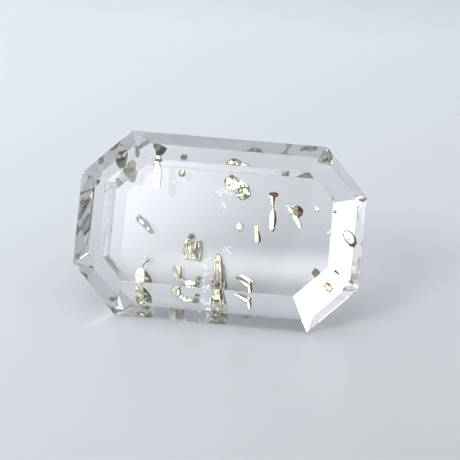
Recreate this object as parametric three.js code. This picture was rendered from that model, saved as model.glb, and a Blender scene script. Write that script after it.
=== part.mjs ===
// A clear rock crystal cut as an eight-sided step-cut tablet, the kind that holds pyrite sealed inside.
// It is one solid: a flat table in front, a ring of crown facets, a thin girdle, a ring of steeper
// pavilion facets and a flat back. It leans back at rest, standing on its long lower pavilion facet.
// Millimetres. X runs along the stone, -Y is the side that the table faces, +Z is up. The origin is
// the centre of the bounding box's bottom face, on the surface that the stone stands on.
import * as THREE from "three";
import { ConvexGeometry } from "three/addons/geometries/ConvexGeometry.js";

// The eight sides of the outline, anticlockwise from the right end, with the table facing the viewer.
// facing is the way a side faces, in degrees, and distance is how far it is from the centre.
// crownInset is how far the table's edge lies inside the outline there, and backInset how far the
// back's edge does. The stone is cut by hand, so its sides are not quite alike.
const sides = [
  { facing: 0, distance: 10, crownInset: 1.95, backInset: 2.3 }, // right end
  { facing: 44, distance: 9.37, crownInset: 1.87, backInset: 2.12 }, // upper right corner
  { facing: 90, distance: 6.35, crownInset: 1.95, backInset: 2.12 }, // long upper side
  { facing: 134.2, distance: 9.26, crownInset: 1.95, backInset: 2.12 }, // upper left corner
  { facing: 180, distance: 10, crownInset: 2.1, backInset: 2.12 }, // left end
  { facing: 225, distance: 9.3, crownInset: 2.1, backInset: 2.12 }, // lower left corner
  { facing: 270, distance: 6.4, crownInset: 2.25, backInset: 2.12 }, // long lower side, the one it stands on
  { facing: 315, distance: 9.3, crownInset: 2.2, backInset: 2.12 }, // lower right corner
];

// Depths. The slope of the lower pavilion facet, measured from the girdle plane, sets how deep the
// back lies.
const crownHeight = 1.83;
const girdleThickness = 0.17;
const lowerBackInset = sides[6].backInset;
const pavilionAngle = THREE.MathUtils.degToRad(61);
const pavilionHeight = lowerBackInset * Math.tan(pavilionAngle);

const quartz = new THREE.MeshStandardMaterial({
  name: "quartz",
  color: 0xf4f7fa,
  roughness: 0.02,
  metalness: 0,
  transparent: true,
  opacity: 0.3,
});

// The corners of the outline at height z, with each side moved inwards by inset(side). A corner is
// where two neighbouring sides meet.
function ring(z, inset) {
  return sides.map((side, i) => {
    const next = sides[(i + 1) % sides.length];
    const a = THREE.MathUtils.degToRad(side.facing);
    const b = THREE.MathUtils.degToRad(next.facing);
    const reachA = side.distance - inset(side);
    const reachB = next.distance - inset(next);
    const turn = Math.sin(b - a);
    const x = (reachA * Math.sin(b) - reachB * Math.sin(a)) / turn;
    const y = (reachB * Math.cos(a) - reachA * Math.cos(b)) / turn;
    return new THREE.Vector3(x, y, z);
  });
}

function tablet() {
  const girdleTop = girdleThickness / 2;
  const corners = [
    ...ring(girdleTop + crownHeight, (side) => side.crownInset),
    ...ring(girdleTop, () => 0),
    ...ring(-girdleTop, () => 0),
    ...ring(-girdleTop - pavilionHeight, (side) => side.backInset),
  ];
  return new ConvexGeometry(corners);
}

const stone = new THREE.Mesh(tablet(), quartz);
stone.name = "quartz_tablet";

// Turning it about X by the lower pavilion facet's own slope lays that facet flat.
const specimen = new THREE.Group();
specimen.add(stone);
specimen.rotation.x = pavilionAngle;
const standing = new THREE.Box3().setFromObject(specimen, true);
specimen.position.x = -(standing.min.x + standing.max.x) / 2;
specimen.position.y = -(standing.min.y + standing.max.y) / 2;
specimen.position.z = -standing.min.z;

export default specimen;
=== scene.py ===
# Rock crystal tablet with pyrite sealed inside, standing on a pale sweep under soft window light.
import random
from math import cos, radians, sin, tan
import bmesh
import bpy
from mathutils import Matrix, Quaternion, Vector


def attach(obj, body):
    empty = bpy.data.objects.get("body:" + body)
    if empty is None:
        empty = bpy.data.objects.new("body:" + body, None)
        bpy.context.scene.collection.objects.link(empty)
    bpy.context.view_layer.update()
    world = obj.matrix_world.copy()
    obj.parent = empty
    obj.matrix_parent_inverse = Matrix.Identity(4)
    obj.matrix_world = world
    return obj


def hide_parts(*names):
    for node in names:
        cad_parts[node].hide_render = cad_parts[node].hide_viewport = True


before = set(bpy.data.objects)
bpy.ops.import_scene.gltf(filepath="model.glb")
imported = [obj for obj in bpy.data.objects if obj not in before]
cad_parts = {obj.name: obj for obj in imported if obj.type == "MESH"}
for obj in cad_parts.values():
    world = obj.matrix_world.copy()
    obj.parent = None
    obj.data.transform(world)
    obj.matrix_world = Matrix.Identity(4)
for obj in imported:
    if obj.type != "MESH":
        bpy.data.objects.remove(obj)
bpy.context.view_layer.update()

mm = 0.001
scene = bpy.context.scene

# The stone's own frame has x along the stone, y up its face and z out of the table, with the
# origin in the middle of the girdle. It leans back by the slope of the facet that it stands on.
lean = {"angle": 61, "girdleY": -0.8916, "girdleZ": 5.6388}  # degrees, mm, mm
stoneToWorld = Matrix.Translation((0, lean["girdleY"] * mm, lean["girdleZ"] * mm))
stoneToWorld = stoneToWorld @ Matrix.Rotation(radians(lean["angle"]), 4, "X")


# Helpers for nodes, materials and objects

def setInputs(tree, node, values):
    # a value that is another node's output is linked, any other is set on the socket itself
    for name, value in values.items():
        if isinstance(value, bpy.types.NodeSocket):
            tree.links.new(value, node.inputs[name])
        else:
            node.inputs[name].default_value = value


def addNode(tree, kind, inputs=None, **settings):
    node = tree.nodes.new(kind)
    for name, value in settings.items():
        setattr(node, name, value)
    setInputs(tree, node, inputs or {})
    return node


def addMath(tree, operation, *values):
    node = addNode(tree, "ShaderNodeMath", dict(enumerate(values)), operation=operation)
    return node.outputs["Value"]


def addVectorMath(tree, operation, first, second):
    other = "Scale" if operation == "SCALE" else 1
    node = addNode(tree, "ShaderNodeVectorMath", {0: first, other: second}, operation=operation)
    return node.outputs["Value" if operation == "DOT_PRODUCT" else "Vector"]


def addRange(tree, source, low, high, fromLow=0.3, fromHigh=0.7, easing="LINEAR"):
    # what lies beyond is held at low or high; nearly all of a noise lies in 0.3 to 0.7
    node = addNode(tree, "ShaderNodeMapRange", {
        "Value": source, "From Min": fromLow, "From Max": fromHigh, "To Min": low, "To Max": high},
        interpolation_type=easing)
    return node.outputs["Result"]


def addNoise(tree, scale, detail):
    # noise on object coordinates, so it keeps its real size; scale is in cells a metre
    place = addNode(tree, "ShaderNodeTexCoord").outputs["Object"]
    noise = addNode(tree, "ShaderNodeTexNoise", {"Vector": place, "Scale": scale, "Detail": detail})
    return noise.outputs["Fac"]


def newMaterial(name, kind="ShaderNodeBsdfPrincipled"):
    material = bpy.data.materials.new(name)
    material.use_nodes = True
    tree = material.node_tree
    tree.nodes.clear()
    shader = addNode(tree, kind)
    addNode(tree, "ShaderNodeOutputMaterial", {"Surface": shader.outputs[0]})
    return material, tree, shader


def makeHazyMaterial(look):
    # an even surface whose polish drifts between two values of roughness
    material, tree, shader = newMaterial(look["name"])
    haze = addNoise(tree, look["hazeScale"], look["hazeDetail"])
    setInputs(tree, shader, {**look["surface"], "Roughness": addRange(tree, haze, *look["roughness"])})
    if "absorption" in look:
        absorb = addNode(tree, "ShaderNodeVolumeAbsorption", look["absorption"])
        setInputs(tree, tree.get_output_node("ALL"), {"Volume": absorb.outputs["Volume"]})
    return material


def addObject(name, data):
    item = bpy.data.objects.new(name, data)
    scene.collection.objects.link(item)
    return item


def settlePiece(piece):
    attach(piece, "root")
    print(piece.name, len(piece.data.polygons), "faces")


# The stone itself: the CAD solid's facets with hairline worn edges

stoneLook = {
    "edgeWear": 0.03,  # mm, width of the worn line along each facet edge
    "edgeSteps": 2,
    "weld": 0.001,  # mm, corners closer than this become one
    "flat": 1,  # degrees, faces that turn less than this become one facet
}
quartzLook = {
    "name": "clearQuartz",
    "surface": {"IOR": 1.544, "Transmission Weight": 1.0, "Base Color": (1, 1, 1, 1)},
    "hazeScale": 900,
    "hazeDetail": 4,
    "roughness": (0.0, 0.02),
    "absorption": {"Color": (0.58, 0.61, 0.65, 1), "Density": 16.0},
}


def makeStone():
    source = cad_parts["quartz_tablet"]
    bm = bmesh.new()
    bm.from_mesh(source.data)
    bmesh.ops.transform(bm, matrix=source.matrix_world, verts=bm.verts)
    bmesh.ops.remove_doubles(bm, verts=bm.verts, dist=stoneLook["weld"] * mm)
    bmesh.ops.dissolve_limit(bm, angle_limit=radians(stoneLook["flat"]), verts=bm.verts, edges=bm.edges)
    bmesh.ops.bevel(bm, geom=bm.edges[:], offset=stoneLook["edgeWear"] * mm,
                    segments=stoneLook["edgeSteps"], profile=0.5, affect="EDGES")
    bmesh.ops.recalc_face_normals(bm, faces=bm.faces)
    for face in bm.faces:
        face.smooth = False
    mesh = bpy.data.meshes.new("quartzStone")
    bm.to_mesh(mesh)
    bm.free()
    mesh.materials.append(makeHazyMaterial(quartzLook))
    stone = addObject("quartz_stone", mesh)
    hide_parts("quartz_tablet")
    settlePiece(stone)


makeStone()

# Pyrite. Every crystal is built in the stone's frame from blades, lumps, crumbs and chips, and then
# geometry nodes ridge its faces. Lengths are in mm and angles in degrees, a slope to the right or
# upwards is above zero, and a 1 at the end of a facet or cut gives it the stain finish: rust colour,
# and painted shade too, as it goes on steep walls and on faces turned right, away from the windows.

pyriteLooks = {
    "brass": {
        "name": "brassPyrite",
        "tones": ((0.155, 0.145, 0.11, 1), (0.385, 0.375, 0.285, 1), (0.60, 0.59, 0.50, 1)),
        "patchScale": 2600,
        "roughness": (0.24, 0.06),  # where it is darkest and where it is palest
        "grainStrength": 0.2,
    },
    # rust colour, darker than the brass, so where it goes on walls and right-turned faces it is painted
    # shade as well
    "rustAndShade": {
        "name": "rustAndShadePyrite",
        "tones": ((0.06, 0.03, 0.022, 1), (0.17, 0.085, 0.06, 1), (0.34, 0.215, 0.165, 1)),
        "patchScale": 3200,
        "roughness": (0.26, 0.08),
        "grainStrength": 0.3,
    },
    # painted shade: the brass tones darkened to about a quarter, put as the stain on faces of four crystals
    "dark": {
        "name": "shadedPyrite",
        "tones": ((0.04, 0.04, 0.03, 1), (0.09, 0.09, 0.065, 1), (0.17, 0.17, 0.125, 1)),
        "patchScale": 2800,
        "roughness": (0.26, 0.08),
        "grainStrength": 0.3,
    },
}
pyriteTexture = {
    "toneStops": (0.30, 0.42, 0.62),  # the patch noise at which each of the three tones is full
    "patchDetail": 5,
    "grainScale": 9000,
    "grainDetail": 3,
    "grainDepth": 0.01,  # mm
}


def makePyriteMaterial(look):
    material, tree, shader = newMaterial(look["name"])
    patches = addNoise(tree, look["patchScale"], pyriteTexture["patchDetail"])
    ramp = addNode(tree, "ShaderNodeValToRGB", {"Fac": patches})
    stops = ramp.color_ramp.elements
    stops.new(0.5)
    for stop, position, tone in zip(stops, pyriteTexture["toneStops"], look["tones"]):
        stop.position = position
        stop.color = tone
    grain = addNoise(tree, pyriteTexture["grainScale"], pyriteTexture["grainDetail"])
    bump = addNode(tree, "ShaderNodeBump", {
        "Height": grain, "Strength": look["grainStrength"], "Distance": pyriteTexture["grainDepth"] * mm})
    setInputs(tree, shader, {
        "Metallic": 1.0, "Base Color": ramp.outputs["Color"], "Normal": bump.outputs["Normal"],
        "Roughness": addRange(tree, patches, *look["roughness"])})
    return material


def placeAt(spec):
    # turned about the stone's normal and then leaned, so a lean is always in the stone's directions
    right, upward = spec.get("face", (0, 0))
    spin = Matrix.Rotation(radians(-upward), 4, "X") @ Matrix.Rotation(radians(right), 4, "Y")
    spin = spin @ Matrix.Rotation(radians(spec.get("turn", 0)), 4, "Z")
    return Matrix.Translation(spec.get("at", (0, 0, 0))) @ spin


# A blade is a row of cross-sections, each (distance along it, left, right, height of the lip). Its
# facets from the left are (share of the width where it ends, slope, stained with rust and painted shade).
bladeDefaults = {
    "lip": 0.09,  # share of the width that the left wall leans over
    "back": 0.2,
    "backInset": 0.15,  # share of the width
    "thinnest": 0.01,
    "edge": 1,  # the right wall gets the stain, which there is painted shade as well as rust
    "jitter": 0.008,
    "jitterOut": 0.3,  # share of the jitter that goes outwards
}


def addBlade(bm, part, chance):
    part = {**bladeDefaults, **part}
    rustAndShade = bm.faces.layers.int["rustAndShade"]
    jitter, back, inset = part["jitter"], part["back"], part["backInset"]
    rings = []
    for along, left, right, rise in part["sections"]:
        width = right - left
        points = [(left, 0.0), (left + part["lip"] * width, rise)]
        height, last = rise, part["lip"]
        for share, slope, rustyAndShaded in part["facets"]:
            height -= tan(radians(slope)) * (share - last) * width
            last = share
            points.append((left + share * width, max(height, part["thinnest"])))
        points += [(right, 0.0), (right - inset * width, -back), (left + inset * width, -back)]
        ring = []
        for across, out in points:
            shift = [chance.uniform(-jitter, jitter) for axis in range(3)]
            spot = (across + shift[0], along + shift[1], out + shift[2] * part["jitterOut"])
            ring.append(bm.verts.new(spot))
        rings.append(ring)
    count = len(rings[0])
    # the left wall always takes the stain and the right wall when edge is 1: rust colour and painted shade
    # on these steep sides
    stained = [1] + [rustyAndShaded for share, slope, rustyAndShaded in part["facets"]] + [part["edge"], 0, 0, 0]
    for lower, upper in zip(rings, rings[1:]):
        for i in range(count):
            j = (i + 1) % count
            face = bm.faces.new((lower[i], lower[j], upper[j], upper[i]))
            face[rustAndShade] = stained[i]
    bm.faces.new(rings[0][::-1])
    bm.faces.new(rings[-1])
    return [vert for ring in rings for vert in ring]


def slicePlane(bm, point, normal):
    # cuts off what lies beyond the plane and closes the cut with one face
    everything = bm.verts[:] + bm.edges[:] + bm.faces[:]
    cut = bmesh.ops.bisect_plane(bm, geom=everything, plane_co=point, plane_no=normal, clear_outer=True)
    rim = [item for item in cut["geom_cut"] if isinstance(item, bmesh.types.BMEdge)]
    return bmesh.ops.holes_fill(bm, edges=rim)["faces"] if rim else []


def copyInto(bm, piece):
    rustAndShade, own = bm.faces.layers.int["rustAndShade"], piece.faces.layers.int["rustAndShade"]
    made = {vert: bm.verts.new(vert.co) for vert in piece.verts}
    for face in piece.faces:
        bm.faces.new([made[vert] for vert in face.verts])[rustAndShade] = face[own]
    piece.free()
    return list(made.values())


# A lump is an outline with upright walls, and planes cut its top. The cuts are (slope right,
# slope up, height at the middle of the outline, stained with rust and painted shade).
lumpDefaults = {
    "high": 0.3,
    "back": 0.25,
    "taper": 0.86,  # share of the outline's size at the top
    "backTaper": 0.82,
    "shoulders": (0.4, 0.25),  # full size up to these shares of the back and of the height
    "edge": 0,  # 1 gives the walls the stain, rust colour and painted shade both
    "jitter": 0.01,
}


def addLump(bm, part, chance):
    part = {**lumpDefaults, **part}
    outline = part["outline"]
    middle = Vector((sum(x for x, y in outline), sum(y for x, y in outline), 0)) / len(outline)
    jitter, high, back = part["jitter"], part["high"], part["back"]
    lowShoulder, highShoulder = part["shoulders"]
    piece = bmesh.new()
    rustAndShade = piece.faces.layers.int.new("rustAndShade")
    area = sum(a[0] * b[1] - b[0] * a[1] for a, b in zip(outline, outline[1:] + outline[:1]))
    points = outline if area > 0 else outline[::-1]
    points = [Vector((x + chance.uniform(-jitter, jitter), y + chance.uniform(-jitter, jitter), 0))
              for x, y in points]
    levels = ((-back, part["backTaper"]), (-lowShoulder * back, 1.0), (highShoulder * high, 1.0),
              (high, part["taper"]))
    rings = []
    for level, share in levels:
        rings.append([piece.verts.new(middle + (point - middle) * share + Vector((0, 0, level)))
                      for point in points])
    for lower, upper in zip(rings, rings[1:]):
        for i in range(len(points)):
            j = (i + 1) % len(points)
            piece.faces.new((lower[i], lower[j], upper[j], upper[i]))[rustAndShade] = part["edge"]
    piece.faces.new(rings[0][::-1])
    piece.faces.new(rings[-1])
    for right, upward, height, rustyAndShaded in part["cuts"]:
        normal = Vector((sin(radians(right)), sin(radians(upward)), 1)).normalized()
        for face in slicePlane(piece, middle + Vector((0, 0, height)), normal):
            face[rustAndShade] = rustyAndShaded
    bmesh.ops.recalc_face_normals(piece, faces=piece.faces)
    return copyInto(bm, piece)


def startBox(size):
    piece = bmesh.new()
    piece.faces.layers.int.new("rustAndShade")
    bmesh.ops.scale(piece, vec=size, verts=bmesh.ops.create_cube(piece, size=1.0)["verts"])
    return piece


def sliceBox(piece, size, way, share):
    # the cut is square to the way, at a share of how far an ellipsoid that fills the box reaches
    reach = sum((way[axis] * size[axis] / 2) ** 2 for axis in range(3)) ** 0.5
    slicePlane(piece, way * reach * share, way)


# A chip is a box that is cut in random directions
chipDefaults = {"cuts": 10, "leastLean": 0.25, "reach": (0.98, 1.2)}


def addChip(bm, part, chance):
    part = {**chipDefaults, **part}
    size = Vector(part["size"])
    piece = startBox(size)
    for number in range(part["cuts"]):
        way = Vector([chance.choice((-1, 1)) * chance.uniform(part["leastLean"], 1) for axis in range(3)])
        way.normalize()
        sliceBox(piece, size, way, chance.uniform(*part["reach"]))
    return copyInto(bm, piece)


def isInside(outline, x, y):
    inside = False
    for (ax, ay), (bx, by) in zip(outline, outline[1:] + outline[:1]):
        if (ay > y) != (by > y) and x < ax + (y - ay) / (by - ay) * (bx - ax):
            inside = not inside
    return inside


# Crumbs are flat-topped grains strewn over an outline: "level" is how high their tops lie and
# "lean" is their mean slope, right and up.
crumbDefaults = {
    "grain": (0.2, 0.36),
    "tall": 1.0,  # height of a grain over its width
    "spread": 4,  # how far a top leans off the mean slope
    "twist": 20,  # how far a grain is turned, either way
    "thick": 0.3,
    "sides": 7,
    "sideSpread": 0.8,  # share of a side's turn that it may stray
    "sideRise": (0.5, 1.0),
    "reach": (1.0, 1.2),
}
fullTurn = 6.28  # radians, near enough


def addCrumbs(bm, part, chance):
    part = {**crumbDefaults, **part}
    outline = part["crumbs"]
    left, right = min(x for x, y in outline), max(x for x, y in outline)
    low, high = min(y for x, y in outline), max(y for x, y in outline)
    tilt, upward = part["lean"]
    spread, sides = part["spread"], part["sides"]
    made = []
    while len(made) < part["count"]:
        x, y = chance.uniform(left, right), chance.uniform(low, high)
        if not isInside(outline, x, y):
            continue
        width = chance.uniform(*part["grain"])
        size = Vector((width, chance.uniform(*part["grain"]) * part["tall"], part["thick"]))
        grain = startBox(size)
        for number in range(sides):
            around = fullTurn * (number + chance.uniform(0, part["sideSpread"])) / sides
            way = Vector((cos(around), sin(around), chance.uniform(*part["sideRise"]))).normalized()
            sliceBox(grain, size, way, chance.uniform(*part["reach"]))
        at = (x, y, chance.uniform(*part["level"]) - part["thick"] / 2)
        turn = chance.uniform(-part["twist"], part["twist"])
        face = (tilt + chance.uniform(-spread, spread), upward + chance.uniform(-spread, spread))
        place = placeAt({"at": at, "turn": turn, "face": face})
        bmesh.ops.transform(grain, matrix=place, verts=grain.verts)
        made.append(copyInto(bm, grain))
    return [vert for group in made for vert in group]


def newTree(name, sockets):
    # sockets names the inputs, which are set on each modifier
    tree = bpy.data.node_groups.new(name, "GeometryNodeTree")
    for label, kind in {"Geometry": "Geometry", **sockets}.items():
        tree.interface.new_socket(label, in_out="INPUT", socket_type="NodeSocket" + kind)
    tree.interface.new_socket("Geometry", in_out="OUTPUT", socket_type="NodeSocketGeometry")
    return tree, addNode(tree, "NodeGroupInput").outputs


def paintShape(tree, shape, finish):
    real = addNode(tree, "GeometryNodeRealizeInstances", {"Geometry": shape})
    paint = addNode(tree, "GeometryNodeSetMaterial", {
        "Geometry": real.outputs["Geometry"], "Material": finish})
    return paint.outputs["Geometry"]


def readAttribute(tree, name, kind):
    node = addNode(tree, "GeometryNodeInputNamedAttribute", {"Name": name}, data_type=kind)
    return node.outputs["Attribute"]


def moveShape(tree, shape, offset):
    node = addNode(tree, "GeometryNodeSetPosition", {"Geometry": shape, "Offset": offset})
    return node.outputs["Geometry"]


def addRidgeTree():
    # fine parallel ridges: a noise that is stretched along one axis pushes the faces in and out
    tree, given = newTree("pyriteRidges", {
        "Spacing": "Float", "Depth": "Float", "Stretch": "Float", "Levels": "Int", "Turn": "Vector",
        "Seed": "Float", "Finish": "Material", "Rust And Shade Finish": "Material"})
    subdivide = addNode(tree, "GeometryNodeSubdivideMesh", {
        "Mesh": given["Geometry"], "Level": given["Levels"]})
    position = addNode(tree, "GeometryNodeInputPosition").outputs["Position"]
    rotate = addNode(tree, "ShaderNodeVectorRotate", {"Vector": position, "Rotation": given["Turn"]},
                     rotation_type="EULER_XYZ", invert=True)
    shares = addNode(tree, "ShaderNodeCombineXYZ", {"X": 1.0, "Y": given["Stretch"], "Z": 1.0})
    place = addVectorMath(tree, "MULTIPLY", rotate.outputs["Vector"], shares.outputs["Vector"])
    place = addVectorMath(tree, "DIVIDE", place, given["Spacing"])
    noise = addNode(tree, "ShaderNodeTexNoise", {
        "Vector": place, "W": given["Seed"], "Scale": 1.0, "Detail": 1.5}, noise_dimensions="4D")
    push = addMath(tree, "SUBTRACT", noise.outputs["Fac"], 0.5)  # as much inwards as outwards
    push = addMath(tree, "MULTIPLY", push, given["Depth"])
    normal = addNode(tree, "GeometryNodeInputNormal").outputs["Normal"]
    ridged = moveShape(tree, subdivide.outputs["Mesh"], addVectorMath(tree, "SCALE", normal, push))
    painted = paintShape(tree, ridged, given["Finish"])
    # faces flagged by the attribute get the stain finish: rust colour, and painted shade on steep walls and
    # on faces turned from the windows
    stained = addNode(tree, "GeometryNodeSetMaterial", {
        "Geometry": painted, "Selection": readAttribute(tree, "rustAndShade", "INT"),
        "Material": given["Rust And Shade Finish"]})
    addNode(tree, "NodeGroupOutput", {"Geometry": stained.outputs["Geometry"]})
    return tree


def bakeNodes(name, mesh, tree, values):
    # runs the tree on the mesh and keeps the evaluated result as a plain mesh on a new object
    carrier = addObject(name + "_raw", mesh)
    modifier = carrier.modifiers.new("nodes", "NODES")
    modifier.node_group = tree
    for item in tree.interface.items_tree:
        if item.in_out == "INPUT" and item.name in values:
            modifier[item.identifier] = values[item.name]
    evaluated = carrier.evaluated_get(bpy.context.evaluated_depsgraph_get())
    baked = bpy.data.meshes.new_from_object(evaluated)
    bpy.data.objects.remove(carrier)
    baked.name = name
    return addObject(name, baked)


ridgeTree = addRidgeTree()
finishes = {name: makePyriteMaterial(look) for name, look in pyriteLooks.items()}
builders = {"sections": addBlade, "outline": addLump, "crumbs": addCrumbs, "size": addChip}
crystalDefaults = {"finish": "brass", "stain": "rustAndShade", "slot": "pyrite", "ridges": {}}
# the smaller Stretch is, the longer the ridges; Levels is how often each face is split
ridgeDefaults = {"Spacing": 0.14, "Depth": 0.014, "Stretch": 0.12, "Levels": 4}


def makeCrystal(name, spec):
    spec = {**crystalDefaults, **spec}
    chance = random.Random(spec["seed"])
    bm = bmesh.new()
    bm.faces.layers.int.new("rustAndShade")
    for part in spec["parts"]:
        build = next(build for key, build in builders.items() if key in part)
        verts = build(bm, part, chance)
        bmesh.ops.transform(bm, matrix=placeAt(spec) @ placeAt(part), verts=verts)
    bmesh.ops.scale(bm, vec=(mm, mm, mm), verts=bm.verts)
    bmesh.ops.transform(bm, matrix=stoneToWorld, verts=bm.verts)
    # faces with many corners are split first, so that they subdivide evenly
    bmesh.ops.triangulate(bm, faces=[face for face in bm.faces if len(face.verts) > 4])
    bmesh.ops.recalc_face_normals(bm, faces=bm.faces)
    mesh = bpy.data.meshes.new(name + "_raw")
    bm.to_mesh(mesh)
    bm.free()
    ridges = {**ridgeDefaults, **spec["ridges"]}
    axes = (stoneToWorld @ placeAt({"turn": spec.get("turn", 0)})).to_euler()
    piece = bakeNodes(name, mesh, ridgeTree, {
        "Spacing": ridges["Spacing"] * mm, "Depth": ridges["Depth"] * mm, "Stretch": ridges["Stretch"],
        "Levels": ridges["Levels"], "Turn": axes[:], "Seed": float(spec["seed"]),
        "Finish": finishes[spec["finish"]], "Rust And Shade Finish": finishes[spec["stain"]]})
    settlePiece(piece)


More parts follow.
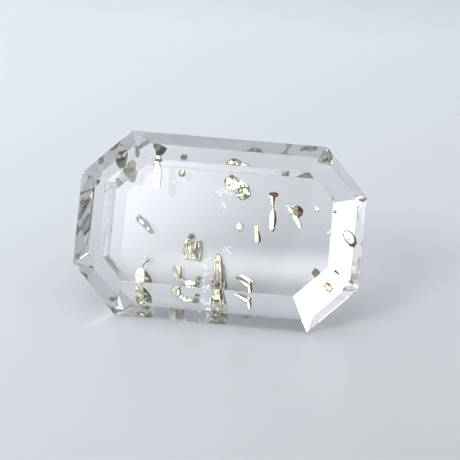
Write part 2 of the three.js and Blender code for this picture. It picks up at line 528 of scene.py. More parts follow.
crystals = {
    "pyrite_ovoid": {
        "at": (-6.43, 2.72, -1.8), "turn": 17.2, "seed": 3, "stain": "dark",
        "ridges": {"Depth": 0.008, "Spacing": 0.3, "Stretch": 0.1},
        "parts": [
            {"outline": [(-0.1, 0.08), (0.12, 0.08), (0.28, 0.35), (0.44, 0.73), (0.48, 1.22), (0.38, 1.58),
                         (0.24, 1.74), (0.08, 1.68), (-0.04, 1.62), (-0.18, 1.72), (-0.38, 1.58),
                         (-0.5, 1.22), (-0.47, 0.73), (-0.32, 0.35)],
             "back": 0.12, "cuts": [(-10, 7, 0.16, 1), (-8, -22, 0.3, 0), (12, 6, 0.26, 0)]},
            {"at": (-0.22, 1.3, 0.1), "size": (0.34, 0.5, 0.3), "face": (-15, 17), "turn": 12, "cuts": 6},
            {"at": (0.22, 1.3, 0.08), "size": (0.32, 0.46, 0.3), "face": (-17, 16), "turn": -10, "cuts": 6},
        ],
    },
    "pyrite_sliver": {
        "at": (-6.33, 3.49, -2.4), "turn": 18.6, "seed": 5,
        "parts": [{"facets": [(0.96, 12, 0)], "back": 0.12,
                   "sections": [(0.0, -0.03, 0.04, 0.06), (0.43, -0.07, 0.07, 0.07),
                                (0.91, -0.03, 0.04, 0.06)]}],
    },
    "pyrite_plate": {
        "at": (-4.37, 2.33, 0.3), "turn": 7.7, "face": (-3, 3), "seed": 7, "stain": "dark",
        "ridges": {"Depth": 0.012, "Spacing": 0.2, "Stretch": 0.3},
        "parts": [
            {"facets": [(0.86, 0, 0), (0.97, 12, 0)], "edge": 0,
             "sections": [(0.01, -0.10, 0.07, 0.15), (0.21, -0.28, 0.18, 0.15), (0.56, -0.30, 0.24, 0.15),
                          (1.04, -0.24, 0.31, 0.15), (1.52, -0.25, 0.28, 0.15), (1.97, -0.2, 0.16, 0.1)]},
            {"outline": [(-0.15, 1.94), (0.12, 1.95), (0.34, 1.98), (0.45, 2.2), (0.62, 2.56), (0.4, 2.76),
                         (0.14, 2.94), (-0.35, 3.09), (-0.37, 2.82), (-0.2, 2.5), (-0.16, 2.1)],
             "high": 0.22, "cuts": [(-3, 6, 0.14, 0), (24, -16, 0.1, 1)], "back": 0.2},
            {"crumbs": [(-0.2, 0.5), (0.15, 0.5), (0.2, 1.3), (-0.15, 1.3)], "count": 6,
             "grain": (0.16, 0.26), "level": (0.13, 0.18), "lean": (-2, 0)},
        ],
    },
    "pyrite_bead": {
        "at": (-3.12, 3.72, -2.0), "seed": 11,
        "parts": [{"size": (0.46, 0.46, 0.4), "cuts": 14, "face": (-3, 2)}],
    },
    "pyrite_grain": {
        "at": (-3.6, 3.1, -2.0), "turn": 15, "seed": 12,
        "parts": [{"size": (0.11, 0.24, 0.1), "cuts": 8, "face": (-4, 3)}],
    },
    "pyrite_lumps": {
        "at": (0, 0, -2.3), "seed": 13,
        "ridges": {"Depth": 0.02, "Spacing": 0.25, "Stretch": 0.8, "Levels": 3},
        "parts": [
            {"outline": [(-0.14, 3.58), (-0.13, 3.33), (0.02, 3.06), (0.3, 2.88), (0.62, 2.9), (0.92, 3.2),
                         (0.98, 3.6), (0.58, 3.84), (0.22, 3.88), (0.03, 3.77)],
             "back": 0.3, "taper": 0.94,
             "cuts": [(-3.5, 10.5, 0.2, 0), (-22, 8, 0.3, 0), (12, 24, 0.31, 0)]},
            {"outline": [(0.5, 2.82), (0.83, 2.72), (0.83, 2.46), (1.09, 2.29), (1.37, 2.24), (1.67, 2.44),
                         (1.82, 2.72), (1.74, 3.02), (1.58, 3.27), (1.32, 3.45), (0.98, 3.6), (0.75, 3.3)],
             "high": 0.36, "back": 0.3, "taper": 0.94,
             "cuts": [(-3.5, 10.5, 0.26, 0), (26, 6, 0.38, 0), (2, -20, 0.42, 0)]},
            {"outline": [(0.42, 3.2), (0.6, 3.0), (0.86, 3.0), (1.0, 3.2), (0.86, 3.44), (0.6, 3.46)],
             "high": 0.44, "back": 0.1, "taper": 0.94, "cuts": [(-3, 2, 0.31, 0)]},
            {"crumbs": [(-0.1, 3.55), (0.0, 3.15), (0.4, 2.95), (0.8, 3.2), (0.8, 3.6), (0.3, 3.8)],
             "count": 12, "level": (0.2, 0.31), "lean": (-3.5, 7), "spread": 8},
            {"crumbs": [(0.9, 2.7), (1.3, 2.35), (1.7, 2.7), (1.5, 3.2), (1.1, 3.45), (0.85, 3.1)],
             "count": 13, "level": (0.25, 0.38), "lean": (-3.5, 6), "spread": 6},
        ],
    },
    "pyrite_funnel": {
        "at": (3.42, 1.94, -2.35), "turn": 7.6, "face": (0, 2), "seed": 17,
        "parts": [
            {"facets": [(0.58, -4, 0), (0.96, 16, 1)], "back": 0.12,
             "sections": [(0.0, -0.05, 0.05, 0.11), (0.31, -0.12, 0.11, 0.11), (0.59, -0.2, 0.17, 0.11),
                          (0.8, -0.24, 0.22, 0.1), (0.98, -0.22, 0.2, 0.06)]},
            {"outline": [(-0.26, 0.92), (-0.05, 0.72), (0.2, 0.66), (0.38, 0.78), (0.43, 0.92),
                         (0.22, 1.06), (-0.18, 1.06)],
             "high": 0.26, "back": 0.15, "edge": 1, "taper": 0.7,
             "cuts": [(14, 12, 0.18, 1), (4, 3, 0.24, 0)]},
        ],
    },
    "pyrite_spindle": {
        "at": (3.54, 0.27, -2.35), "turn": 4.1, "face": (0, 2), "seed": 19,
        "parts": [{"facets": [(0.1, -10, 1), (0.7, -4, 0), (0.97, 22, 1)],
                   "sections": [(0.0, -0.12, 0.09, 0.13), (0.19, -0.23, 0.17, 0.13),
                                (0.54, -0.28, 0.24, 0.13), (0.95, -0.27, 0.27, 0.13),
                                (1.33, -0.21, 0.20, 0.13), (1.6, -0.09, 0.09, 0.12),
                                (1.74, -0.05, 0.05, 0.1)]}],
    },
    "pyrite_needle": {
        "at": (2.57, -0.63, -2.55), "turn": 10.2, "face": (0, 2), "seed": 23,
        "parts": [
            {"facets": [(0.95, -4, 0)],
             "sections": [(0.02, -0.11, 0.08, 0.12), (0.15, -0.17, 0.1, 0.12), (0.54, -0.16, 0.12, 0.12),
                          (0.9, -0.14, 0.12, 0.12), (1.23, -0.11, 0.1, 0.12), (1.36, -0.05, 0.05, 0.1)]},
            {"facets": [(0.95, 15, 1)],
             "sections": [(0.05, 0.06, 0.16, 0.04), (0.18, 0.08, 0.25, 0.05), (0.54, 0.1, 0.26, 0.05),
                          (0.86, 0.1, 0.15, 0.04)]},
        ],
    },
    "pyrite_arrow": {
        "at": (5.46, 0.67, -2.45), "turn": 33.3, "face": (-3.5, 2.5), "seed": 29,
        "parts": [
            {"facets": [(0.8, 0, 0), (0.96, 16, 1)],
             "sections": [(0.02, -0.03, 0.09, 0.13), (0.29, -0.10, 0.22, 0.13), (0.77, -0.12, 0.22, 0.13),
                          (1.16, -0.14, 0.16, 0.13), (1.56, -0.16, 0.10, 0.13), (1.85, -0.15, 0.07, 0.13),
                          (1.97, -0.08, 0.05, 0.1)]},
            {"outline": [(0.04, 0.9), (0.3, 0.72), (0.58, 0.78), (0.76, 1.04), (0.7, 1.36), (0.46, 1.6),
                         (0.16, 1.62), (0.02, 1.3)],
             "high": 0.2, "back": 0.2, "taper": 0.85, "cuts": [(9, -3, 0.14, 0), (20, -8, 0.15, 1)]},
            {"crumbs": [(0.12, 0.95), (0.4, 0.82), (0.52, 1.1), (0.45, 1.45), (0.2, 1.5)], "count": 8,
             "grain": (0.1, 0.18), "level": (0.16, 0.23), "lean": (0, 0), "spread": 11},
        ],
    },
    "pyrite_cube": {
        "at": (0, 0, -2.5), "seed": 31,
        "ridges": {"Depth": 0.012, "Spacing": 0.2, "Stretch": 0.8},
        "parts": [
            {"outline": [(1.24, 0.78), (1.5, 0.5), (1.46, 0.2), (1.26, 0.04), (1.04, 0.26), (1.0, 0.56)],
             "high": 0.2, "taper": 0.8,
             "cuts": [(-8.5, 3.5, 0.14, 0), (10, 12, 0.18, 0), (-16, -12, 0.19, 0)]},
            {"crumbs": [(1.1, 0.3), (1.4, 0.25), (1.4, 0.5), (1.2, 0.65)], "count": 3,
             "grain": (0.12, 0.2), "level": (0.13, 0.18), "lean": (-6, 3)},
        ],
    },
    "pyrite_striated": {
        "at": (0, 0, -2.85), "seed": 37,
        "ridges": {"Depth": 0.045, "Spacing": 0.1, "Stretch": 0.1, "Levels": 3},
        "parts": [
            {"outline": [(-2.63, -1.65), (-2.56, -2.02), (-2.33, -2.17), (-1.95, -2.14), (-1.8, -1.3),
                         (-1.86, -0.5), (-2.03, -0.27), (-2.3, -0.34), (-2.47, -0.8), (-2.58, -1.15)],
             "high": 0.26, "taper": 0.92, "cuts": [(-11, 6, 0.14, 0), (-2, 10, 0.18, 0), (-6, 26, 0.3, 0)]},
            {"outline": [(-2.0, -2.1), (-1.6, -2.12), (-1.55, -1.0), (-1.8, -0.9), (-1.96, -1.4)],
             "edge": 1, "cuts": [(-4, 2, 0.22, 0), (18, 2, 0.24, 1)], "taper": 0.9},
            {"outline": [(-1.75, -2.12), (-1.41, -2.23), (-1.28, -2.12), (-1.17, -1.79), (-1.26, -0.97),
                         (-1.38, -0.74), (-1.7, -0.82)],
             "high": 0.24, "cuts": [(10, 4, 0.16, 0), (16, 3, 0.17, 0)]},
            {"crumbs": [(-1.98, -2.0), (-1.75, -2.0), (-1.72, -1.1), (-1.92, -1.2)], "count": 4,
             "grain": (0.1, 0.16), "tall": 1.8, "level": (0.24, 0.3), "lean": (-4, 3)},
            {"crumbs": [(-1.6, -2.0), (-1.3, -2.0), (-1.3, -1.2), (-1.6, -1.1)], "count": 7,
             "grain": (0.1, 0.18), "tall": 1.5, "level": (0.16, 0.24), "lean": (8, 4), "spread": 10},
            {"crumbs": [(-2.5, -1.9), (-2.0, -2.0), (-1.95, -1.3), (-2.4, -1.2)], "count": 12,
             "grain": (0.12, 0.2), "tall": 1.6, "level": (0.13, 0.22), "lean": (-9, 4), "spread": 10},
            {"crumbs": [(-2.35, -0.9), (-1.95, -0.9), (-1.95, -0.4), (-2.25, -0.4)], "count": 7,
             "grain": (0.12, 0.2), "level": (0.12, 0.2), "lean": (-9, 6), "spread": 10},
        ],
    },
    "pyrite_stalk": {
        "at": (-5.31, -2.96, -2.65), "turn": -19.7, "seed": 41,
        "parts": [
            {"facets": [(0.9, 6, 0)], "back": 0.06,
             "sections": [(0.0, -0.05, 0.05, 0.05), (0.3, -0.06, 0.05, 0.06), (0.5, -0.06, 0.08, 0.06)]},
            {"at": (0.06, 0.6, 0.0), "size": (0.38, 0.38, 0.4), "cuts": 14, "face": (-10, 8)},
        ],
    },
    "pyrite_leaf": {
        "at": (0, 0, -2.85), "seed": 43, "stain": "dark",
        "ridges": {"Depth": 0.03, "Spacing": 0.2, "Stretch": 0.7, "Levels": 3},
        "parts": [
            {"outline": [(-5.72, -3.95), (-5.6, -4.4), (-5.3, -4.55), (-5.02, -4.35), (-5.06, -3.6),
                         (-5.14, -3.1), (-5.32, -2.92), (-5.62, -3.05), (-5.78, -3.4)],
             "cuts": [(-9, 1, 0.2, 0), (-18, 3, 0.27, 0), (2, -14, 0.31, 0)]},
            {"outline": [(-5.14, -3.1), (-4.97, -3.24), (-4.73, -3.5), (-4.56, -3.83), (-4.54, -4.32),
                         (-4.79, -4.34), (-5.06, -4.1)],
             "high": 0.22, "cuts": [(12, 3, 0.12, 1), (24, 6, 0.18, 1)], "back": 0.2},
            {"crumbs": [(-5.6, -3.5), (-5.2, -3.4), (-5.25, -3.05), (-5.5, -3.1)], "count": 4,
             "grain": (0.16, 0.26), "level": (0.14, 0.22), "lean": (-6, 3), "spread": 5},
            {"crumbs": [(-5.05, -3.6), (-4.8, -3.5), (-4.62, -3.9), (-4.62, -4.3), (-5.0, -4.25)],
             "count": 18, "grain": (0.12, 0.2), "level": (0.2, 0.32), "lean": (-4, 2), "spread": 10},
            {"facets": [(0.9, -5, 0)], "at": (-5.35, -4.3, 0.1), "turn": -62,
             "sections": [(-0.2, -0.05, 0.06, 0.05), (0.1, -0.08, 0.08, 0.1), (0.7, -0.07, 0.07, 0.08)]},
            {"facets": [(0.9, -3, 0)], "at": (-5.6, -4.15, 0.1), "turn": -54,
             "sections": [(-0.1, -0.05, 0.05, 0.05), (0.3, -0.07, 0.07, 0.1), (0.7, -0.05, 0.05, 0.06)]},
        ],
    },
    "pyrite_hook": {
        "at": (0, 0, -3.0), "seed": 47, "stain": "dark",
        "ridges": {"Depth": 0.02, "Spacing": 0.2, "Stretch": 0.5, "Levels": 3},
        "parts": [
            {"outline": [(-3.25, -2.8), (-3.12, -2.55), (-2.88, -2.53), (-2.65, -2.68), (-2.55, -2.95),
                         (-2.62, -3.5), (-3.0, -3.52), (-3.2, -3.22)],
             "high": 0.22, "cuts": [(-9, 0, 0.12, 0), (-20, 4, 0.18, 0), (-3, 3, 0.19, 0)]},
            {"facets": [(0.55, -4, 0), (0.95, 13, 1)], "at": (-2.62, -3.5, 0.08), "turn": 6,
             "sections": [(0.0, -0.16, 0.1, 0.12), (0.4, -0.12, 0.14, 0.13), (0.8, -0.1, 0.08, 0.12)]},
            {"facets": [(0.5, 4, 0), (0.95, 14, 0)], "at": (-2.74, -3.42, 0.05), "turn": -124,
             "sections": [(-0.1, -0.14, 0.14, 0.08), (0.3, -0.2, 0.17, 0.11), (0.75, -0.18, 0.17, 0.1)]},
            {"facets": [(0.5, 0, 0), (0.95, 8, 0)], "at": (-2.2, -3.72, 0.05), "turn": -92, "face": (-4, 2),
             "sections": [(0.0, -0.17, 0.2, 0.1), (0.35, -0.2, 0.16, 0.1), (0.6, -0.14, 0.12, 0.08)]},
            {"crumbs": [(-2.9, -3.5), (-2.3, -3.95), (-1.7, -3.9), (-1.8, -3.6), (-2.3, -3.55),
                        (-2.7, -3.3)],
             "count": 8, "grain": (0.12, 0.22), "level": (0.14, 0.22), "lean": (0, 3), "spread": 12},
            {"crumbs": [(-1.75, -3.95), (-1.2, -3.9), (-1.2, -3.2), (-1.5, -3.2)],
             "count": 9, "grain": (0.12, 0.22), "level": (0.16, 0.26), "lean": (4, 4), "spread": 14},
            {"at": (-1.62, -3.7, 0.04), "size": (0.32, 0.3, 0.36), "cuts": 12, "face": (-3, 2)},
            {"at": (-1.36, -3.58, 0.03), "size": (0.24, 0.42, 0.36), "cuts": 12, "face": (9, 6)},
            {"at": (-1.42, -3.3, 0.02), "size": (0.2, 0.24, 0.3), "cuts": 12, "face": (-5, 6)},
        ],
    },
    "pyrite_rod": {
        "at": (0.19, -4.50, -3.1), "turn": 7.1, "seed": 53,
        "ridges": {"Depth": 0.035, "Spacing": 0.11, "Stretch": 0.03},
        "parts": [
            {"facets": [(0.2, -9, 0), (0.26, 30, 1), (0.56, -5, 0), (0.61, 40, 1), (0.8, -6, 0),
                        (0.97, 17, 1)],
             "sections": [(1.0, -0.42, 0.34, 0.22), (1.31, -0.38, 0.37, 0.235), (1.72, -0.35, 0.37, 0.24),
                          (2.17, -0.35, 0.36, 0.235), (2.62, -0.31, 0.3, 0.22), (2.86, -0.23, 0.2, 0.19),
                          (2.98, -0.14, 0.12, 0.12)]},
            {"outline": [(0.3, 1.0), (0.52, 1.1), (0.5, 1.7), (0.42, 2.2), (0.32, 2.3)],
             "high": 0.1, "cuts": [(20, 4, 0.05, 0)]},
            {"facets": [(0.6, -12, 0), (0.95, 12, 1)], "at": (-0.5, 0.35, 0.0),
             "sections": [(0.0, -0.1, 0.12, 0.12), (0.5, -0.09, 0.1, 0.2), (0.9, -0.06, 0.06, 0.1)]},
            {"facets": [(0.6, -4, 0), (0.95, 16, 1)], "at": (-0.26, 0.35, 0.02),
             "sections": [(0.0, -0.1, 0.12, 0.12), (0.5, -0.09, 0.1, 0.22), (0.8, -0.06, 0.06, 0.1)]},
            {"facets": [(0.5, 10, 1), (0.95, 22, 1)], "at": (-0.02, 0.38, 0.0),
             "sections": [(0.0, -0.12, 0.12, 0.1), (0.5, -0.12, 0.12, 0.14), (0.75, -0.08, 0.08, 0.1)]},
            {"facets": [(0.6, -5, 0), (0.95, 14, 1)], "at": (0.22, 0.4, 0.04),
             "sections": [(0.0, -0.08, 0.1, 0.12), (0.4, -0.09, 0.09, 0.2), (0.75, -0.06, 0.06, 0.1)]},
            {"facets": [(0.5, -3, 0), (0.95, 18, 1)], "at": (0.46, 0.42, 0.0),
             "sections": [(0.0, -0.1, 0.12, 0.1), (0.4, -0.1, 0.12, 0.16), (0.7, -0.08, 0.06, 0.1)]},
            {"outline": [(-0.64, 0.16), (-0.44, 0.02), (0.2, 0.04), (0.58, 0.2), (0.62, 0.6), (0.3, 0.82),
                         (-0.2, 0.8), (-0.56, 0.62)],
             "high": 0.34, "taper": 0.9, "cuts": [(8, 0.5, 0.27, 0), (3, -26, 0.42, 0)]},
            {"at": (-0.55, 0.16, 0.08), "size": (0.3, 0.26, 0.3), "face": (-4, -5)},
        ],
    },
    "pyrite_chevron": {
        "at": (0, 0, -2.6), "seed": 59,
        "ridges": {"Depth": 0.012, "Spacing": 0.16, "Stretch": 0.04},
        "parts": [
            {"facets": [(0.42, 0, 0), (0.58, 25, 1), (0.86, 0, 0)], "lip": 0.2, "at": (2.45, -3.26, 0.0),
             "turn": 67.4, "back": 0.12, "face": (-4, 2.5),
             "sections": [(-0.05, -0.17, 0.06, 0.11), (0.37, -0.13, 0.14, 0.11), (0.76, -0.1, 0.15, 0.11),
                          (1.0, -0.08, 0.04, 0.11)]},
            {"facets": [(0.84, 0, 0)], "lip": 0.2, "at": (2.36, -3.58, 0.04), "turn": 64.2,
             "back": 0.12, "face": (-4, -6.4),
             "sections": [(-0.02, -0.18, 0.08, 0.12), (0.48, -0.15, 0.12, 0.12), (0.88, -0.11, 0.14, 0.12),
                          (1.18, -0.08, 0.08, 0.12)]},
            {"facets": [(0.55, 0, 0), (0.95, 14, 1)], "at": (2.42, -4.14, 0.0), "turn": 4.9,
             "back": 0.12, "face": (-4, -6.4),
             "sections": [(0.0, -0.07, 0.07, 0.12), (0.34, -0.16, 0.12, 0.12), (0.62, -0.17, 0.13, 0.12),
                          (0.92, -0.1, 0.1, 0.12)]},
        ],
    },
    "pyrite_tile": {
        "at": (6.84, -2.32, -3.12), "seed": 61,
        "parts": [{"outline": [(-0.4, 0.04), (-0.18, 0.42), (0.1, 0.25), (0.37, -0.1), (0.18, -0.46),
                               (-0.06, -0.3)],
                   "edge": 1, "high": 0.16, "back": 0.1, "taper": 0.66, "cuts": [(2, -1.5, 0.12, 1)]}],
    },
    "pyrite_dot": {
        "at": (6.48, 2.08, -2.32), "seed": 67,
        "parts": [{"size": (0.26, 0.32, 0.28), "cuts": 14, "face": (-3, 3)}],
    },
    "pyrite_splinter": {
        "at": (7.9, -1.75, -2.6), "turn": 48, "seed": 73,
        "parts": [{"facets": [(0.95, 4, 0)], "back": 0.05,
                   "sections": [(-0.3, -0.03, 0.03, 0.03), (0.0, -0.05, 0.05, 0.05),
                                (0.3, -0.02, 0.03, 0.03)]}],
    },
    "pyrite_lath": {
        "at": (8.18, 0.3, -1.75), "turn": 52, "seed": 71,
        "parts": [{"outline": [(-0.22, -0.7), (0.2, -0.63), (0.37, -0.26), (0.4, 0.18), (0.27, 0.55),
                               (0.02, 0.7), (-0.23, 0.53), (-0.37, 0.09), (-0.37, -0.4)],
                   "high": 0.16, "back": 0.1, "edge": 1, "taper": 0.68, "cuts": [(5, 3, 0.13, 0)]}],
    },
}
for crystalName, crystalSpec in crystals.items():
    makeCrystal(crystalName, crystalSpec)

# One glassy rod, nearly clear, with two pale mirror flakes on it as painted highlights, and veils of tiny
# flakes between the crystals

glassLook = {
    "name": "glassySkin",
    "surface": {"IOR": 1.45, "Transmission Weight": 0.9, "Base Color": (0.50, 0.54, 0.54, 1)},
    "hazeScale": 3500,
    "hazeDetail": 4,
    "roughness": (0.04, 0.22),
}
flakeLook = {
    "name": "paleFlake",
    "surface": {"Metallic": 0.9, "Base Color": (0.90, 0.94, 0.97, 1)},
    "hazeScale": 6000,
    "hazeDetail": 3,
    "roughness": (0.12, 0.3),
}
glassPieces = {
    "quartz_needle": {
        "at": (-4.77, -0.60, -2.5), "turn": 45.2, "seed": 79,
        "finish": "glass", "stain": "glass", "slot": "quartz",
        "ridges": {"Depth": 0.01, "Spacing": 0.15, "Stretch": 0.1, "Levels": 3},
        "parts": [{"facets": [(0.3, -30, 0), (0.66, 0, 0), (0.95, 30, 0)], "back": 0.14,
                   "sections": [(0.05, -0.09, 0.13, 0.1), (0.31, -0.17, 0.18, 0.12),
                                (0.89, -0.23, 0.27, 0.12), (1.38, -0.3, 0.19, 0.12),
                                (1.67, -0.25, 0.12, 0.1)]}],
    },
    # painted highlights: two pale mirror flakes set on the rod where its two highlights show
    "quartz_highlight_flakes": {
        "at": (-4.77, -0.60, -2.2), "turn": 45.2, "face": (-4, 3), "seed": 83,
        "finish": "flake", "slot": "quartz",
        "ridges": {"Depth": 0.004, "Levels": 2},
        "parts": [{"at": (-0.08, 1.15, 0), "size": (0.13, 0.34, 0.06), "cuts": 6},
                  {"at": (-0.02, 0.5, 0), "size": (0.1, 0.16, 0.06), "cuts": 6}],
    },
}
flakes = {
    "count": 56,  # in each veil
    "size": 0.036,  # mm, radius
    "seed": 5,
    "sides": 6,
    "thick": 0.5,  # over the radius
    "gather": (0.15, 1.0),  # shares of the way out, so that they are thickest in the middle
    "lean": ((-0.2, -0.2, -0.2), (0.15, 0.1, 0.2)),  # radians, least and most
    "stretch": ((0.4, 0.4, 0.6), (1.5, 1.2, 1.0)),
    # each veil is (middle, half widths), in mm
    "veils": (
        ((-0.25, 2.7, -2.3), (0.85, 0.75, 0.3)),
        ((0.0, 1.7, -2.3), (0.3, 0.6, 0.2)),
        ((-0.9, -2.9, -2.7), (0.45, 1.5, 0.3)),
        ((-0.7, -3.9, -2.8), (0.7, 0.5, 0.3)),
        ((0.5, -1.2, -2.6), (0.5, 0.5, 0.3)),
        ((7.5, 0.6, -2.4), (0.3, 0.35, 0.2)),
    ),
}


def addVeilTree():
    # every vertex of the input is the middle of a veil; its half widths ride on it as "reach"
    tree, given = newTree("flakeVeils", {
        "Count": "Int", "Size": "Float", "Seed": "Int", "Finish": "Material"})

    def addRandom(kind, low, high, offset):
        seed = addMath(tree, "ADD", given["Seed"], offset)
        node = addNode(tree, "FunctionNodeRandomValue", {"Min": low, "Max": high, "Seed": seed},
                       data_type=kind)
        return node.outputs["Value"]

    points = addNode(tree, "GeometryNodeMeshToPoints", {"Mesh": given["Geometry"]})
    many = addNode(tree, "GeometryNodeDuplicateElements", {
        "Geometry": points.outputs["Points"], "Amount": given["Count"]}, domain="POINT")
    spread = addVectorMath(tree, "MULTIPLY", addRandom("FLOAT_VECTOR", (-1, -1, -1), (1, 1, 1), 1),
                           readAttribute(tree, "reach", "FLOAT_VECTOR"))
    spread = addVectorMath(tree, "SCALE", spread, addRandom("FLOAT", *flakes["gather"], 2))
    flake = addNode(tree, "GeometryNodeMeshCylinder", {
        "Vertices": flakes["sides"], "Radius": given["Size"],
        "Depth": addMath(tree, "MULTIPLY", given["Size"], flakes["thick"])})
    flat = stoneToWorld.to_euler().x  # the flakes lie nearly flat in the stone
    leastLean, mostLean = [(flat + x, y, z) for x, y, z in flakes["lean"]]
    strew = addNode(tree, "GeometryNodeInstanceOnPoints", {
        "Points": moveShape(tree, many.outputs["Geometry"], spread),
        "Instance": flake.outputs["Mesh"],
        "Rotation": addRandom("FLOAT_VECTOR", leastLean, mostLean, 3),
        "Scale": addRandom("FLOAT_VECTOR", *flakes["stretch"], 4)})
    painted = paintShape(tree, strew.outputs["Instances"], given["Finish"])
    addNode(tree, "NodeGroupOutput", {"Geometry": painted})
    return tree


def makeFlakes():
    mesh = bpy.data.meshes.new("flakes_raw")
    mesh.from_pydata([stoneToWorld @ (Vector(middle) * mm) for middle, half in flakes["veils"]], [], [])
    reach = mesh.attributes.new("reach", "FLOAT_VECTOR", "POINT")
    for item, (middle, half) in zip(reach.data, flakes["veils"]):
        item.vector = stoneToWorld.to_3x3() @ (Vector(half) * mm)
    piece = bakeNodes("quartz_flakes", mesh, addVeilTree(), {
        "Count": flakes["count"], "Size": flakes["size"] * mm, "Seed": flakes["seed"],
        "Finish": finishes["flake"]})
    settlePiece(piece)


finishes["glass"] = makeHazyMaterial(glassLook)
finishes["flake"] = makeHazyMaterial(flakeLook)
for glassName, glassSpec in glassPieces.items():
    makeCrystal(glassName, glassSpec)
makeFlakes()

# Studio: pale floor, soft room and window light from the left

# The floor's tone is painted light and shade: lighter and bluer towards the back left, where the windows
# are, darker towards the front right, and darker again far behind the stone.
floorLook = {
    "size": 6.0,  # metres
    "gap": 0.05,  # mm below the stone
    "right": (0.572, 0.577, 0.592, 1),  # painted shade, towards the front right
    "left": (0.763, 0.808, 0.848, 1),  # painted light, towards the back left
    "slope": (-3.3, 2.8),  # how fast the tone turns, for each metre along X and Y
    "turn": (-0.13, 0.19),  # from where it is all right to where it is all left
    "far": (0.048, 0.072),  # metres behind the stone, from where to where painted shade darkens it to the far tone
    "farShade": 0.70,
    "grainScale": 400,
    "grainDetail": 2,
    "roughness": (0.198, 0.242),
    "specular": 0.5,
}
# A painted glow stands in for the light that comes down through the stone: the floor it stands on glows
# there, though it is no lamp. Each pair is where that starts and where it is full, in mm from the middle.
paintedFloorGlow = {
    "light": 0.17,
    "tone": (0.97, 0.98, 1, 1),
    "across": (8.5, 6.5),
    "front": (-3.8, -3.0),
    "back": (0.5, 0),
}
# Azimuth 0 is in front, towards -Y, and positive is to the right; elevation is above the floor.
# Distances and sizes are in metres.
windows = {
    "mainWindow": {"azimuth": -30, "elevation": 40, "distance": 0.75, "size": (0.43, 0.30),
                   "power": 8.2, "fade": (0.4, 0.5)},
    "sideWindow": {"azimuth": -44, "elevation": 37, "distance": 0.78, "size": (0.34, 0.31),
                   "power": 2.4, "fade": (0.4, 0.4)},
    "backWindow": {"azimuth": -148, "elevation": 14, "distance": 0.9, "size": (0.42, 0.42),
                   "power": 5.0, "fade": (0.3, 0.4)},
    # its mirror image lies across the lower part of the table
    "lowStrip": {"azimuth": -11.1, "elevation": 31.66, "distance": 0.74, "size": (0.085, 0.011),
                 "power": 3.0, "fade": (0.6, 0.95), "roll": 9, "clear": True},
}
# Each glow is full out to core and gone at reach, both in degrees from its middle
room = {
    "walls": (0.49, 0.50, 0.52),
    "glows": {
        "ceiling": {"azimuth": 0, "elevation": 90, "core": 20, "reach": 60, "light": (0.58, 0.60, 0.62)},
        "leftWall": {"azimuth": -72, "elevation": 18, "core": 10, "reach": 60, "light": (0.24, 0.25, 0.26)},
        "leftSill": {"azimuth": -60, "elevation": 2, "core": 5, "reach": 30, "light": (1.15, 1.18, 1.2)},
        "backCorner": {"azimuth": -135, "elevation": 10, "core": 10, "reach": 40,
                       "light": (0.26, 0.28, 0.30)},
        "backShade": {"azimuth": -174, "elevation": 3, "core": 6, "reach": 24,
                      "light": (-0.19, -0.19, -0.185)},
    },
}
sheetCorners = ((-1, -1), (1, -1), (1, 1), (-1, 1))


def aim(azimuth, elevation):
    azimuth, elevation = radians(azimuth), radians(elevation)
    return Vector((sin(azimuth) * cos(elevation), -cos(azimuth) * cos(elevation), sin(elevation)))


def addSheet(name, middle, side, up, material):
    # a flat sheet of the studio, which reaches from its middle to side and up and as far back
    mesh = bpy.data.meshes.new(name)
    mesh.from_pydata([middle + side * x + up * y for x, y in sheetCorners], [], [(0, 1, 2, 3)])
    for loop, corner in zip(mesh.uv_layers.new(name="sheet").data, sheetCorners):
        loop.uv = corner
    mesh.materials.append(material)
    addObject(name, mesh)


def makeFloor():
    material, tree, shader = newMaterial("paleSweep")
    place = addNode(tree, "ShaderNodeTexCoord").outputs["Object"]
    split = addNode(tree, "ShaderNodeSeparateXYZ", {"Vector": place}).outputs
    alongX, alongY = floorLook["slope"]
    tone = addMath(tree, "MULTIPLY", split["X"], alongX)
    tone = addMath(tree, "MULTIPLY_ADD", split["Y"], alongY, tone)
    # painted light and shade: lighter and bluer towards the back left, darker towards the front right
    blend = addNode(tree, "ShaderNodeMix", {
        "Factor": addRange(tree, tone, 0, 1, *floorLook["turn"]),
        "A": floorLook["right"], "B": floorLook["left"]}, data_type="RGBA")
    # painted shade: far behind the stone the floor darkens
    fall = addRange(tree, split["Y"], 1, floorLook["farShade"], *floorLook["far"])
    grain = addNoise(tree, floorLook["grainScale"], floorLook["grainDetail"])
    # painted light: the floor glows under the stone, fading out at the edges
    light = paintedFloorGlow["light"]
    width = addMath(tree, "ABSOLUTE", split["X"])
    for edge, source in (("across", width), ("front", split["Y"]), ("back", split["Y"])):
        start, full = paintedFloorGlow[edge]
        light = addMath(tree, "MULTIPLY", addRange(tree, source, 0, 1, start * mm, full * mm), light)
    setInputs(tree, shader, {
        "Base Color": addVectorMath(tree, "SCALE", blend.outputs["Result"], fall),
        "Roughness": addRange(tree, grain, *floorLook["roughness"]),
        "Specular IOR Level": floorLook["specular"],
        "Emission Color": paintedFloorGlow["tone"], "Emission Strength": light})
    half = floorLook["size"] / 2
    middle = Vector((0, 0, -floorLook["gap"] * mm))
    addSheet("floor", middle, Vector((half, 0, 0)), Vector((0, half, 0)), material)


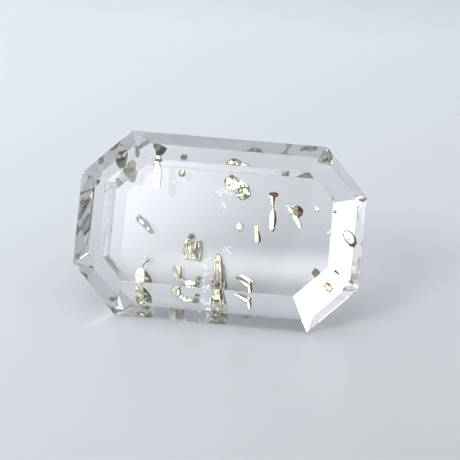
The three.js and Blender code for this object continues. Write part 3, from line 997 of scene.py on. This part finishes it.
def makeWindow(name, spec):
    # a glowing sheet whose edges fade out over the shares in spec["fade"] of its half size
    away = aim(spec["azimuth"], spec["elevation"])
    side = aim(spec["azimuth"] + 90, 0)
    side.rotate(Quaternion(away, radians(spec.get("roll", 0))))
    up = away.cross(side)
    material, tree, glow = newMaterial(name, "ShaderNodeEmission")
    place = addNode(tree, "ShaderNodeUVMap", uv_map="sheet").outputs["UV"]
    split = addNode(tree, "ShaderNodeSeparateXYZ", {"Vector": place})
    strength = spec["power"]
    for axis, share in zip(("X", "Y"), spec["fade"]):
        reach = addMath(tree, "ABSOLUTE", split.outputs[axis])
        fade = addRange(tree, reach, 0, 1, 1.0, 1.0 - share, "SMOOTHSTEP")
        strength = addMath(tree, "MULTIPLY", fade, strength)
    setInputs(tree, glow, {"Color": (1, 1, 1, 1), "Strength": strength})
    if spec.get("clear"):
        # what lies behind this sheet still shows through it
        behind = addNode(tree, "ShaderNodeBsdfTransparent").outputs["BSDF"]
        both = addNode(tree, "ShaderNodeAddShader", {0: glow.outputs["Emission"], 1: behind})
        setInputs(tree, tree.get_output_node("ALL"), {"Surface": both.outputs["Shader"]})
    width, height = spec["size"]
    addSheet(name, away * spec["distance"], side * (width / 2), up * (height / 2), material)


def makeRoom():
    world = bpy.data.worlds.new("softRoom")
    scene.world = world
    world.use_nodes = True
    tree = world.node_tree
    place = addNode(tree, "ShaderNodeTexCoord").outputs["Generated"]
    total = room["walls"]
    for spec in room["glows"].values():
        facing = addVectorMath(tree, "DOT_PRODUCT", place, aim(spec["azimuth"], spec["elevation"]))
        reach, core = cos(radians(spec["reach"])), cos(radians(spec["core"]))
        fade = addRange(tree, facing, 0, 1, reach, core, "SMOOTHSTEP")
        total = addVectorMath(tree, "ADD", total, addVectorMath(tree, "SCALE", spec["light"], fade))
    setInputs(tree, tree.nodes["Background"], {"Color": total})


makeFloor()
makeRoom()
for windowName, windowSpec in windows.items():
    makeWindow(windowName, windowSpec)

# Camera, placed in mm from the middle of the girdle
view = {
    "azimuth": 11.8,
    "elevation": 25.1,
    "distance": 295.0,
    "right": 0.732,
    "up": 0.027,
    "lens": 336.5,
    "sensor": 36,
    "clip": (0.01, 20),  # metres
}


def makeCamera():
    right = aim(view["azimuth"] + 90, 0)
    back = aim(view["azimuth"], view["elevation"])
    up = back.cross(right)
    data = bpy.data.cameras.new("camera")
    data.lens = view["lens"]
    data.sensor_width = view["sensor"]
    data.clip_start, data.clip_end = view["clip"]
    camera = addObject("camera", data)
    offset = right * view["right"] + up * view["up"] + back * view["distance"]
    camera.location = stoneToWorld.translation + offset * mm
    camera.rotation_euler = Matrix((right, up, back)).transposed().to_euler()
    scene.camera = camera


makeCamera()
scene.view_settings.view_transform = "Standard"
scene.cycles.max_bounces = 24
scene.cycles.transmission_bounces = 24
scene.cycles.glossy_bounces = 12
scene.cycles.diffuse_bounces = 6
print("studio ready")
